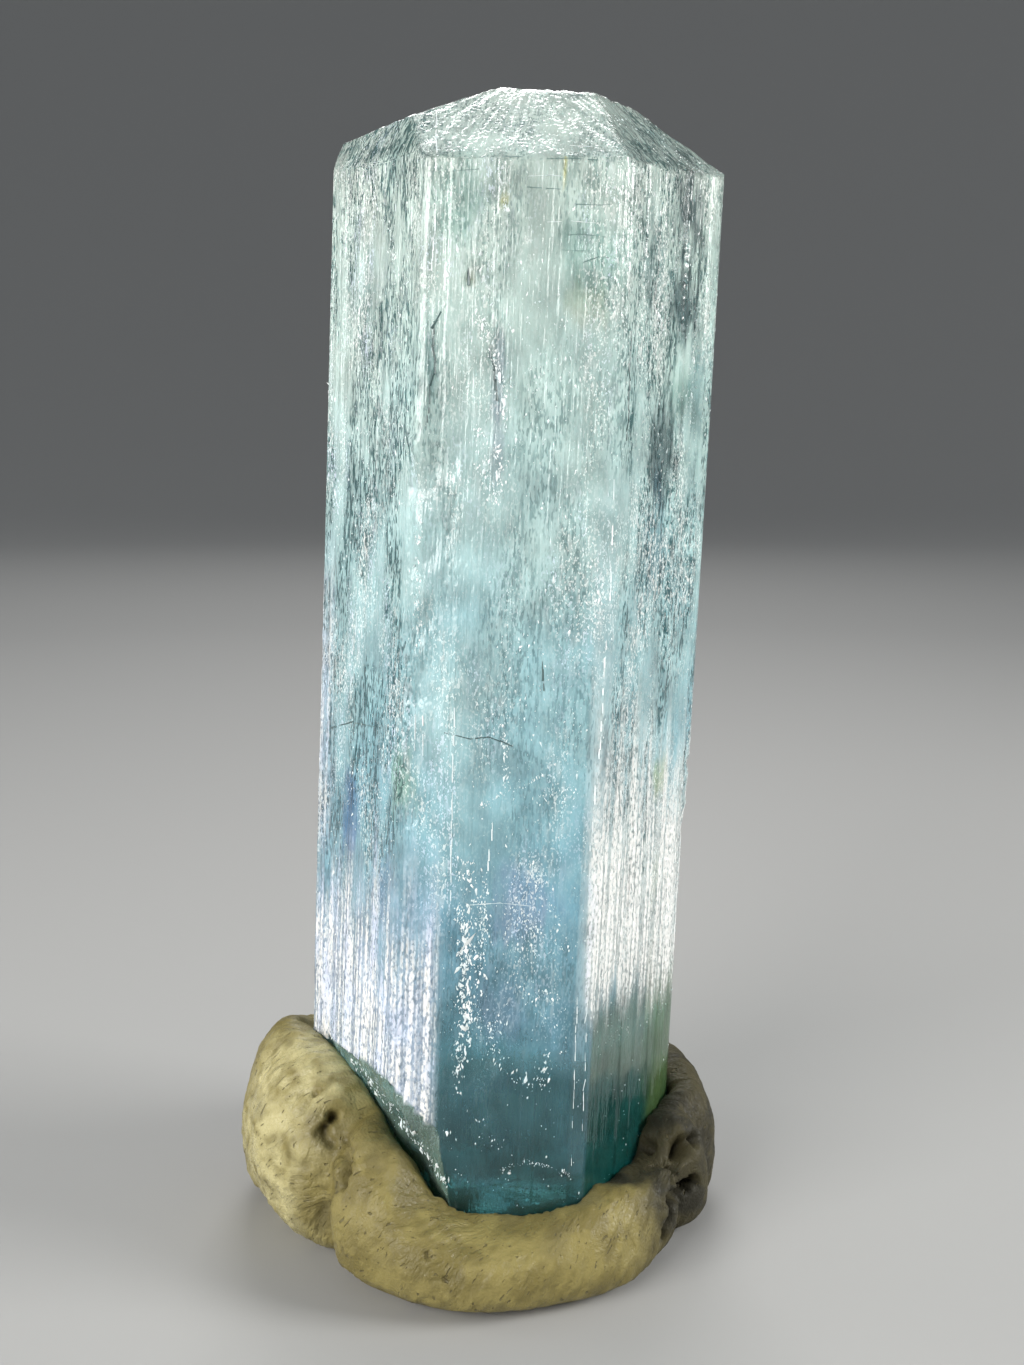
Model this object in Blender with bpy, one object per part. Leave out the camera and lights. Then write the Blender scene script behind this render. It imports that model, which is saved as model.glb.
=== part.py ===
"""An aquamarine crystal standing in a pressed ring of mineral tack, at its real size.

Metres, +Z up. The origin is the centre of the tack's footprint, on the surface that it stands on,
and -Y is the side shown to the viewer. Design values are written in millimetres and angles in degrees.
"""

import math
import random

import bmesh
import bpy
from mathutils import Matrix, Vector, noise

MM = 0.001

# ---- crystal: a hexagonal prism, drawn upright in its own frame with its foot on that frame's origin
PRISM_CORNERS = {  # plan of the prism, anticlockwise from above
    "left": (-7.82, 0.4),
    "front_left": (-3.6, -6.9),
    "front_right": (3.5, -6.9),
    "right": (7.9, 0.46),
    "back_right": (4.2, 6.85),
    "back_left": (-4.1, 6.85),
}
EDGE_WEAR = {  # how far the flat on each long edge runs along the two faces beside it
    "left": 0.18,
    "front_left": 0.16,
    "front_right": 0.42,
    "right": 0.22,
    "back_right": 0.2,
    "back_left": 0.16,
}
STRIPS_PER_FACE = (9, 9, 11, 6, 7, 6)  # growth ledges on each face, in the order of the corners
LEDGE_DEPTH = (0.1, 0.045, 0.12, 0.09, 0.08, 0.1)  # the deepest ledge on each face
LEDGE_RISER = 0.07  # width of the slope from one ledge to the next
PRISM_RINGS = 13
PRISM_BOTTOM = 0.4
PRISM_TOP = 47.0
LEAN_DEG = 2.45  # the crystal leans towards +X
CRYSTAL_FOOT = (0.25, 0.0, 0.0)

# A second growth of the front left edge, on the lower half only: a long narrow facet
LOWER_FACET_TURN = 18.0  # degrees from the front face, towards the left face
LOWER_FACET_EDGE = (-1.75, -6.9)
LOWER_FACET_FULL_BELOW = 25.5
LOWER_FACET_GONE_ABOVE = 29.0

# The right hand edge is set back a little below this height
RIGHT_NOTCH_HEIGHT = 19.5
RIGHT_NOTCH_DEPTH = 0.16
RIGHT_NOTCH_REACH = 1.2

PINACOID_HEIGHT = 45.55  # the flat top, on the crystal's axis
PINACOID_NORMAL = (0.05, 0.0, 1.0)
TOP_FACETS = {  # face: (height of its edge with the prism at each corner, slope from level in degrees)
    "left": (43.65, 43.65, 23.5),
    "front_left": (41.95, 42.2, 36.0),
    "front_right": (42.15, 43.15, 41.0),
    "right": (43.2, 42.9, 30.0),
    "back_right": (42.6, 42.3, 31.0),
    "back_left": (43.0, 43.9, 27.0),
}
TOP_CHIPS = (  # small facets on the shoulders: a point, and the way each one faces
    ((-7.82, 0.4, 42.75), (-0.771, -0.477, 0.421)),
    ((7.9, 0.46, 43.0), (0.93, 0.05, 0.36)),
    ((1.0, -3.0, 45.4), (0.1, -0.42, 0.9)),
)

FRACTURES = (  # the broken lower left corner: two steep breaks, each a plane through three points
    ((-7.82, 0.4, 7.25), (-4.03, -6.16, 7.8), (-1.3, -6.9, 3.0)),
    ((-4.03, -6.16, 7.8), (-1.75, -6.9, 5.95), (-1.3, -6.9, 3.0)),
)
FOOT_HEIGHT = 1.9  # the broken foot, a little above the surface
FOOT_NORMAL = (0.05, -0.04, -1.0)

# ---- mineral tack: one roll pressed round the foot, with a pad of it under the crystal
TACK_GAP = 0.3  # clearance between the tack and the crystal
TACK_FLOOR = 1.35  # top of the pad under the crystal
TACK_COLUMNS = 108
ROLL = (  # bearing anticlockwise from +X in degrees, outer radius, height of the crest
    (0, 10.2, 5.2),
    (20, 10.3, 5.7),
    (45, 10.2, 6.1),
    (75, 10.3, 5.3),
    (100, 10.4, 4.8),
    (130, 10.5, 5.4),
    (155, 10.4, 6.9),
    (178, 10.4, 7.9),
    (200, 9.8, 7.7),
    (216, 9.1, 7.0),
    (229, 9.3, 6.2),
    (244, 9.9, 5.4),
    (256, 10.1, 4.3),
    (270, 10.1, 3.5),
    (288, 10.0, 3.4),
    (306, 9.9, 3.6),
    (322, 9.7, 3.9),
    (334, 9.6, 4.2),
    (346, 10.0, 5.0),
)
CREASES = (  # bearing, half width in degrees, how far it cuts into the side and into the crest
    (225.0, 4.5, 1.4, 0.6),
    (334.0, 3.5, 0.85, 0.5),
    (351.0, 3.0, 0.55, 0.35),
    (112.0, 5.0, 0.7, 0.6),
)
LUMP_HEIGHT = 0.28
LUMP_SIZE = 3.2


def face_pairs():
    """The six prism faces as (first corner name, second corner name)."""
    names = list(PRISM_CORNERS)
    return [(names[i], names[(i + 1) % len(names)]) for i in range(len(names))]


def outward(start, end):
    """Unit normal of a plan edge of an anticlockwise outline, pointing out of it."""
    along = (end - start).normalized()
    return Vector((along.y, -along.x))


def smooth_step(value, low, high):
    share = min(1.0, max(0.0, (value - low) / (high - low)))
    return share * share * (3.0 - 2.0 * share)


# ---------------------------------------------------------------- crystal


def ledge_strips(count, depth, rng):
    """The growth ledges across one face: start, depth and heights of each."""
    widths = [rng.uniform(0.5, 1.5) for _ in range(count)]
    total = sum(widths)
    strips = []
    reached = 0.0
    for width in widths:
        span = (PRISM_BOTTOM, PRISM_TOP)
        if rng.random() < 0.45:
            middle = rng.uniform(8.0, 38.0)
            span = rng.choice(((PRISM_BOTTOM, middle), (middle, PRISM_TOP)))
        strips.append((reached / total, depth * rng.random(), span))
        reached += width
    return strips


def prism_columns():
    """The prism's vertical lines: (plan point, outward normal, ledge depth, ledge heights)."""
    rng = random.Random(7)
    columns = []
    for face, (first, second) in enumerate(face_pairs()):
        start = Vector(PRISM_CORNERS[first])
        end = Vector(PRISM_CORNERS[second])
        normal = outward(start, end)
        length = (end - start).length
        along = (end - start) / length
        low, high = EDGE_WEAR[first], length - EDGE_WEAR[second]
        strips = ledge_strips(STRIPS_PER_FACE[face], LEDGE_DEPTH[face], rng)
        columns.append((start + along * low, normal, *strips[0][1:]))
        for before, after in zip(strips, strips[1:]):
            ledge = low + after[0] * (high - low)
            columns.append((start + along * (ledge - LEDGE_RISER / 2), normal, *before[1:]))
            columns.append((start + along * (ledge + LEDGE_RISER / 2), normal, *after[1:]))
        columns.append((start + along * high, normal, *strips[-1][1:]))
    return columns


def lower_facet_cut(point, height):
    """How far the lower front left facet cuts into a plan point at a height, and the facet's normal."""
    turn = math.radians(LOWER_FACET_TURN)
    normal = Vector((-math.sin(turn), -math.cos(turn)))
    strength = 1.0 - smooth_step(height, LOWER_FACET_FULL_BELOW, LOWER_FACET_GONE_ABOVE)
    return max(0.0, (point - Vector(LOWER_FACET_EDGE)).dot(normal)) * strength, normal


def prism_point(column, height):
    point, normal, depth, (low, high) = column
    if low <= height <= high:
        point = point - normal * depth
    cut, facet_normal = lower_facet_cut(point, height)
    point = point - facet_normal * cut
    if height < RIGHT_NOTCH_HEIGHT:
        from_edge = (point - Vector(PRISM_CORNERS["right"])).length
        point = point - Vector((RIGHT_NOTCH_DEPTH * max(0.0, 1.0 - from_edge / RIGHT_NOTCH_REACH), 0.0))
    return Vector((point.x, point.y, height))


def ring_heights():
    """Heights of the prism's rings, a little uneven, as growth lines are."""
    rng = random.Random(3)
    step = (PRISM_TOP - PRISM_BOTTOM) / (PRISM_RINGS - 1)
    inner = [PRISM_BOTTOM + step * (i + rng.uniform(-0.3, 0.3)) for i in range(1, PRISM_RINGS - 1)]
    return [PRISM_BOTTOM, *inner, PRISM_TOP]


def loft(bm, rings):
    """Joins rings of equal length with quads, and returns nothing: the ends stay open."""
    for lower, upper in zip(rings, rings[1:]):
        for i in range(len(lower)):
            j = (i + 1) % len(lower)
            bm.faces.new((lower[i], lower[j], upper[j], upper[i]))


def cut_flat(bm, point, normal):
    """Takes off everything beyond a plane and closes the solid with one flat face."""
    cut = bmesh.ops.bisect_plane(
        bm,
        geom=bm.verts[:] + bm.edges[:] + bm.faces[:],
        dist=1e-7,
        plane_co=Vector(point) * MM,
        plane_no=Vector(normal),
        clear_outer=True,
    )
    edges = [g for g in cut["geom_cut"] if isinstance(g, bmesh.types.BMEdge) and g.is_boundary]
    bmesh.ops.edgeloop_fill(bm, edges=edges)


def top_facet(first, second):
    """(point, outward normal) of the facet that slopes in from the prism face between two corners."""
    start, end = Vector(PRISM_CORNERS[first]), Vector(PRISM_CORNERS[second])
    low, high, slope = TOP_FACETS[first]
    side = outward(start, end)
    tilt = math.radians(slope)
    normal = Vector((side.x * math.sin(tilt), side.y * math.sin(tilt), math.cos(tilt)))
    edge = Vector((*(end - start), high - low)).normalized()
    return Vector((*start, low)), (normal - edge * normal.dot(edge)).normalized()


def fracture_planes():
    """The breaks of the lower left corner, as (point, outward normal)."""
    planes = []
    for corners in FRACTURES:
        a, b, c = (Vector(p) for p in corners)
        normal = (b - a).cross(c - b).normalized()
        planes.append((a, -normal if normal.x > 0 else normal))
    return planes


def crystal_cuts():
    """Every plane that ends the prism, as (point, outward normal), in the crystal's own frame."""
    cuts = [top_facet(first, second) for first, second in face_pairs()]
    cuts.append((Vector((0, 0, PINACOID_HEIGHT)), Vector(PINACOID_NORMAL).normalized()))
    cuts.extend((Vector(point), Vector(normal).normalized()) for point, normal in TOP_CHIPS)
    cuts.extend(fracture_planes())
    cuts.append((Vector((0, 0, FOOT_HEIGHT)), Vector(FOOT_NORMAL).normalized()))
    return cuts


def crystal_matrix():
    """From the crystal's own upright frame to the part's frame, in metres."""
    place = Matrix.Translation(Vector(CRYSTAL_FOOT) * MM)
    return place @ Matrix.Rotation(math.radians(LEAN_DEG), 4, "Y")


def crystal_mesh():
    bm = bmesh.new()
    columns = prism_columns()
    rings = [[bm.verts.new(prism_point(c, height) * MM) for c in columns] for height in ring_heights()]
    loft(bm, rings)
    bm.faces.new(reversed(rings[0]))
    bm.faces.new(rings[-1])
    for point, normal in crystal_cuts():
        cut_flat(bm, point, normal)
    bmesh.ops.remove_doubles(bm, verts=bm.verts, dist=0.002 * MM)
    bmesh.ops.triangulate(bm, faces=bm.faces, quad_method="SHORT_EDGE", ngon_method="BEAUTY")
    bmesh.ops.recalc_face_normals(bm, faces=bm.faces)
    return bm


# ---------------------------------------------------------------- tack


def socket_planes():
    """The planes at the sides of the crystal's foot: (point, outward normal), in the part's frame."""
    turn = crystal_matrix().to_3x3()
    foot = Vector(CRYSTAL_FOOT)
    planes = []
    for first, second in face_pairs():
        start, end = Vector(PRISM_CORNERS[first]), Vector(PRISM_CORNERS[second])
        side = outward(start, end)
        planes.append((turn @ Vector((*start, 0)) + foot, turn @ Vector((*side, 0))))
    planes.extend((turn @ point + foot, turn @ normal) for point, normal in fracture_planes())
    return planes


def crystal_reach(planes, bearing, height, gap):
    """Distance from the Z axis to the crystal's side, plus a gap, along a bearing at a height."""
    way = Vector((math.cos(bearing), math.sin(bearing), 0))
    level = Vector((0, 0, height))
    nearest = 1e9
    for point, normal in planes:
        towards = way.dot(normal)
        if towards > 1e-6:
            nearest = min(nearest, ((point - level).dot(normal) + gap) / towards)
    return nearest


def roll_at(bearing_deg):
    """(outer radius, crest height) of the roll at a bearing, eased between the stations of ROLL."""
    stations = [*ROLL, (ROLL[0][0] + 360, *ROLL[0][1:])]
    for before, after in zip(stations, stations[1:]):
        if before[0] <= bearing_deg <= after[0]:
            share = smooth_step(bearing_deg, before[0], after[0])
            radius = before[1] + (after[1] - before[1]) * share
            crest = before[2] + (after[2] - before[2]) * share
            break
    for centre, half_width, side_cut, crest_cut in CREASES:
        away = abs((bearing_deg - centre + 180) % 360 - 180) / half_width
        pinch = math.exp(-away * away)
        radius -= side_cut * pinch
        crest -= crest_cut * pinch
    return radius, crest


def roll_section(planes, bearing_deg):
    """The tack's section at a bearing: (radius, height) in mm, from under the foot to the socket."""
    bearing = math.radians(bearing_deg)
    radius, crest = roll_at(bearing_deg)

    def wall(height):
        return crystal_reach(planes, bearing, height, TACK_GAP)

    thick = radius - wall(crest / 2)
    shoulder = 0.86 * crest
    top_wall = wall(shoulder)
    section = [
        (radius - 0.24 * thick - 0.4, 0.0),
        (radius - 0.09 * thick, 0.15 * crest),
        (radius, 0.4 * crest),
        (radius - 0.05 * thick, 0.63 * crest),
        (radius - 0.2 * thick, 0.84 * crest),
        (radius - 0.42 * thick, 0.97 * crest),
        (radius - 0.62 * thick, crest),
        (top_wall + 0.12 * thick, 0.96 * crest),
        (top_wall, shoulder),
    ]
    for share in (0.72, 0.45, 0.2, 0.0):
        height = TACK_FLOOR + (shoulder - TACK_FLOOR) * share
        section.append((wall(height), height))
    section.append((wall(TACK_FLOOR) * 0.5, TACK_FLOOR))
    return section


def lump(point):
    """How far the kneaded surface stands out at a point, in mm."""
    return LUMP_HEIGHT * noise.noise(Vector(point) / LUMP_SIZE)


def tack_mesh():
    bm = bmesh.new()
    planes = socket_planes()
    columns = []
    for i in range(TACK_COLUMNS):
        bearing_deg = 360.0 * i / TACK_COLUMNS
        way = Vector((math.cos(math.radians(bearing_deg)), math.sin(math.radians(bearing_deg))))
        column = []
        for k, (radius, height) in enumerate(roll_section(planes, bearing_deg)):
            if 1 <= k <= 6:
                radius += lump((way.x * radius, way.y * radius, height))
            column.append(bm.verts.new(Vector((way.x * radius, way.y * radius, height)) * MM))
        columns.append(column)
    for i, column in enumerate(columns):
        after = columns[(i + 1) % TACK_COLUMNS]
        for k in range(len(column) - 1):
            bm.faces.new((column[k], after[k], after[k + 1], column[k + 1]))
    bm.faces.new([column[0] for column in reversed(columns)])
    pad_centre = bm.verts.new(Vector((0, 0, TACK_FLOOR)) * MM)
    for i, column in enumerate(columns):
        bm.faces.new((column[-1], columns[(i + 1) % TACK_COLUMNS][-1], pad_centre))
    bmesh.ops.triangulate(bm, faces=bm.faces, quad_method="SHORT_EDGE", ngon_method="BEAUTY")
    bmesh.ops.recalc_face_normals(bm, faces=bm.faces)
    return bm


# ---------------------------------------------------------------- materials and scene


def principled(name, colour, roughness, **more):
    material = bpy.data.materials.new(name)
    material.use_nodes = True
    shader = material.node_tree.nodes["Principled BSDF"]
    shader.inputs["Base Color"].default_value = (*colour, 1.0)
    shader.inputs["Roughness"].default_value = roughness
    for socket, value in more.items():
        shader.inputs[socket.replace("_", " ")].default_value = value
    return material


def add_object(name, bm, material, matrix=None, smooth_below=None):
    mesh = bpy.data.meshes.new(name)
    bm.to_mesh(mesh)
    bm.free()
    if smooth_below is not None:
        mesh.shade_smooth()
        mesh.set_sharp_from_angle(angle=math.radians(smooth_below))
    mesh.materials.append(material)
    obj = bpy.data.objects.new(name, mesh)
    bpy.context.scene.collection.objects.link(obj)
    if matrix is not None:
        obj.matrix_world = matrix
    return obj


def build():
    for obj in list(bpy.data.objects):
        bpy.data.objects.remove(obj, do_unlink=True)
    beryl = principled(
        "aquamarine", (0.55, 0.8, 0.84), 0.12, Transmission_Weight=1.0, IOR=1.577, Metallic=0.0
    )
    putty = principled("mineral_tack", (0.56, 0.5, 0.24), 0.55)
    add_object("crystal", crystal_mesh(), beryl, crystal_matrix())
    add_object("mineral_tack", tack_mesh(), putty, smooth_below=50.0)


build()
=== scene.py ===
import math
import random
import time

import bmesh
import bpy
from mathutils import Matrix, Vector, noise
from mathutils.bvhtree import BVHTree


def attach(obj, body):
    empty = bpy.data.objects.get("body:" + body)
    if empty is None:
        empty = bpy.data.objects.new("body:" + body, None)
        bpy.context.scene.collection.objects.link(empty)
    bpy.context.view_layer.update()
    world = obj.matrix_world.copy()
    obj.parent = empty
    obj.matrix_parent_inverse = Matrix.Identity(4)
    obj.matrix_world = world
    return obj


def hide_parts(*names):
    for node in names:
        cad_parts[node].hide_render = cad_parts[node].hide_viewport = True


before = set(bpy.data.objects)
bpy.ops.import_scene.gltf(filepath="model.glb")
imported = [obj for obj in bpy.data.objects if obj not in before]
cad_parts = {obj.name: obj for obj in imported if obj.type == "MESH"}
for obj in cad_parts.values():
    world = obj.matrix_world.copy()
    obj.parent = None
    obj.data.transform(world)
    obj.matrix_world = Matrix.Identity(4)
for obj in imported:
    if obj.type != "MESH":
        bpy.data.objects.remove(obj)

mm = 0.001
started = time.time()
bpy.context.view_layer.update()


def report(text):
    print(f"[{time.time() - started:5.1f} s] {text}")


# camera, light and floor

stage = {
    "cameraPlace": (1.4, -60.0, 31.0),  # mm
    "cameraPitch": 82.0,  # degrees up from straight down
    "lens": 38.58,
    "pictureSize": (1024.0, 1365.0),  # pixels
    "sensor": 36.0,
    "floorRadius": 1500.0,  # mm, level part and its turned-up edge
    "sweepRadius": 1250.0,
    "sweepHeight": 1600.0,
    "sweepSteps": 12,
    "floorSides": 64,
    "floorDrop": 0.02,  # mm below the tack
    "floorColour": (0.36, 0.36, 0.355),
    "worldColour": (0.92, 0.96, 1.0),
    "worldStrength": 0.5,
    "lampSpread": 130.0,  # degrees
    "lampsFace": (0.0, 0.0, 22.0),  # mm
}
lamps = {  # name: place in mm, size in mm, power in watts, colour
    "keyLamp": ((-142.0, -166.0, 100.0), 160.0, 0.355, (1.0, 0.98, 0.95)),
    "leftLamp": ((-210.0, 30.0, 70.0), 60.0, 0.032, (1.0, 0.98, 0.96)),
    "backLamp": ((-10.0, 330.0, 310.0), 190.0, 0.38, (1.0, 0.99, 0.97)),
    "sideLamp": ((200.0, -30.0, 105.0), 90.0, 0.26, (1.0, 0.99, 0.96)),
}


def rayThrough(u, v):
    # from the camera through a point of its picture, in pixels from the top left
    wide, tall = stage["pictureSize"]
    focal = stage["lens"] / stage["sensor"] * tall
    aim = Vector((u - wide / 2, tall / 2 - v, -focal)).normalized()
    turn = Matrix.Rotation(math.radians(stage["cameraPitch"]), 3, "X")
    return Vector(stage["cameraPlace"]) * mm, turn @ aim


def touched(tree, u, v):
    # where the line through a point of the picture first meets a piece
    place, normal, _, _ = tree.ray_cast(*rayThrough(u, v))
    return place, normal


def aimAt(target, place):
    return (Vector(target) - Vector(place)).to_track_quat("-Z", "Y").to_euler()


def buildFloor():
    bm = bmesh.new()
    reach, bend, height = (stage[k] * mm for k in ("floorRadius", "sweepRadius", "sweepHeight"))
    profile = [(0.0, 0.0), (reach - bend, 0.0)]
    for i in range(1, stage["sweepSteps"] + 1):
        turn = math.pi / 2 * i / stage["sweepSteps"]
        profile.append((reach - bend + bend * math.sin(turn), bend - bend * math.cos(turn)))
    profile.append((reach, height))
    verts = [bm.verts.new((x, 0.0, z)) for x, z in profile]
    edges = [bm.edges.new(pair) for pair in zip(verts, verts[1:])]
    bmesh.ops.spin(
        bm,
        geom=verts + edges,
        cent=(0, 0, 0),
        axis=(0, 0, 1),
        angle=math.tau,
        steps=stage["floorSides"],
        use_merge=True,
    )
    bmesh.ops.remove_doubles(bm, verts=bm.verts, dist=1e-5)
    bmesh.ops.translate(bm, verts=bm.verts, vec=(0, 0, -stage["floorDrop"] * mm))
    bmesh.ops.recalc_face_normals(bm, faces=bm.faces)
    bmesh.ops.reverse_faces(bm, faces=bm.faces)
    floor = meshObject("floor", bm)
    floor.data.shade_smooth()
    floor.data.materials.append(principled("floorPaper", stage["floorColour"], 0.7).material)


def buildStage():
    scene = bpy.context.scene
    camera = bpy.data.objects.new("camera", bpy.data.cameras.new("camera"))
    camera.data.lens = stage["lens"]
    camera.data.clip_start = 0.001
    camera.location = Vector(stage["cameraPlace"]) * mm
    camera.rotation_euler = (math.radians(stage["cameraPitch"]), 0.0, 0.0)
    scene.collection.objects.link(camera)
    scene.camera = camera
    middle = Vector(stage["lampsFace"]) * mm
    for name, (place, size, power, colour) in lamps.items():
        light = bpy.data.lights.new(name, "AREA")
        light.size = size * mm
        light.energy = power
        light.color = colour
        light.spread = math.radians(stage["lampSpread"])
        lamp = bpy.data.objects.new(name, light)
        lamp.location = Vector(place) * mm
        lamp.rotation_euler = aimAt(middle, lamp.location)
        lamp.visible_camera = False
        scene.collection.objects.link(lamp)
    world = bpy.data.worlds.new("studio")
    world.use_nodes = True
    sky = world.node_tree.nodes["Background"]
    sky.inputs["Color"].default_value = (*stage["worldColour"], 1.0)
    sky.inputs["Strength"].default_value = stage["worldStrength"]
    scene.world = world
    scene.view_settings.view_transform = "Standard"
    buildFloor()


# helpers


def meshObject(name, bm):
    mesh = bpy.data.meshes.new(name)
    bm.to_mesh(mesh)
    bm.free()
    thing = bpy.data.objects.new(name, mesh)
    bpy.context.scene.collection.objects.link(thing)
    return thing


class Nodes:
    def __init__(self, name):
        self.material = bpy.data.materials.new(name)
        self.material.use_nodes = True
        self.tree = self.material.node_tree
        self.shader = self.tree.nodes["Principled BSDF"]

    def add(self, kind, inputs=None, **settings):
        node = self.tree.nodes.new("ShaderNode" + kind)
        for key, value in settings.items():
            setattr(node, key, value)
        for key, value in (inputs or {}).items():
            if isinstance(value, bpy.types.NodeSocket):
                self.tree.links.new(value, node.inputs[key])
            else:
                node.inputs[key].default_value = value
        return node

    def link(self, value, socket):
        self.tree.links.new(value, self.shader.inputs[socket])


def cloud(nodes, coords, scale, detail, shift=0.0):
    # noise, with a scale per mm along X, Y and Z
    moved = (shift, -shift, 2 * shift)
    placed = nodes.add("Mapping", {"Vector": coords, "Scale": scale, "Location": moved}).outputs[0]
    return nodes.add("TexNoise", {"Vector": placed, "Scale": 1.0, "Detail": detail}).outputs["Fac"]


def patches(nodes, coords, scale, low, high, shift, detail):
    # soft or sharp blotches, 0 to 1
    shapes = {0: cloud(nodes, coords, scale, detail, shift), 1: low, 2: high}
    return nodes.add("MapRange", shapes, interpolation_type="SMOOTHSTEP").outputs[0]


def mixed(nodes, share, base, top, blend="MIX"):
    node = nodes.add("Mix", data_type="RGBA", blend_type=blend, clamp_factor=True)
    for socket, value in ((0, share), (6, base), (7, top)):
        if isinstance(value, bpy.types.NodeSocket):
            nodes.tree.links.new(value, node.inputs[socket])
        elif socket == 0:
            node.inputs[0].default_value = value
        else:
            node.inputs[socket].default_value = (*value, 1.0)
    return node.outputs[2]


def maths(nodes, operation, *values):
    return nodes.add("Math", dict(enumerate(values)), operation=operation).outputs[0]


def most(nodes, *values):
    total = values[0]
    for value in values[1:]:
        total = maths(nodes, "MAXIMUM", total, value)
    return total


def ranged(nodes, value, low, high, lowest=0.0, highest=1.0):
    return nodes.add("MapRange", {0: value, 1: low, 2: high, 3: lowest, 4: highest}).outputs[0]


def principled(name, colour, roughness):
    nodes = Nodes(name)
    nodes.shader.inputs["Base Color"].default_value = (*colour, 1.0)
    nodes.shader.inputs["Roughness"].default_value = roughness
    return nodes


def smoothStep(value, low, high):
    share = min(1.0, max(0.0, (value - low) / (high - low)))
    return share * share * (3.0 - 2.0 * share)


def streak(place, across, along, seed):
    # noise drawn out lengthwise, about -1 to 1; place is in mm
    moved = Vector((place.x * across + seed, place.y * across - seed, place.z * along + 3 * seed))
    return noise.noise(moved)


def drift(place, across, along, seed):
    # the same with finer noise over it
    return streak(place, across, along, seed) + 0.5 * streak(place, 2.3 * across, 2.3 * along, seed + 7.0)


def nodeMesh(node):
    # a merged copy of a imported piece
    bm = bmesh.new()
    bm.from_mesh(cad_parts[node].data)
    bmesh.ops.remove_doubles(bm, verts=bm.verts, dist=1e-6)
    return bm


def nodeTree(node):
    bm = nodeMesh(node)
    tree = BVHTree.FromBMesh(bm)
    bm.free()
    return tree


# crystal

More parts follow.
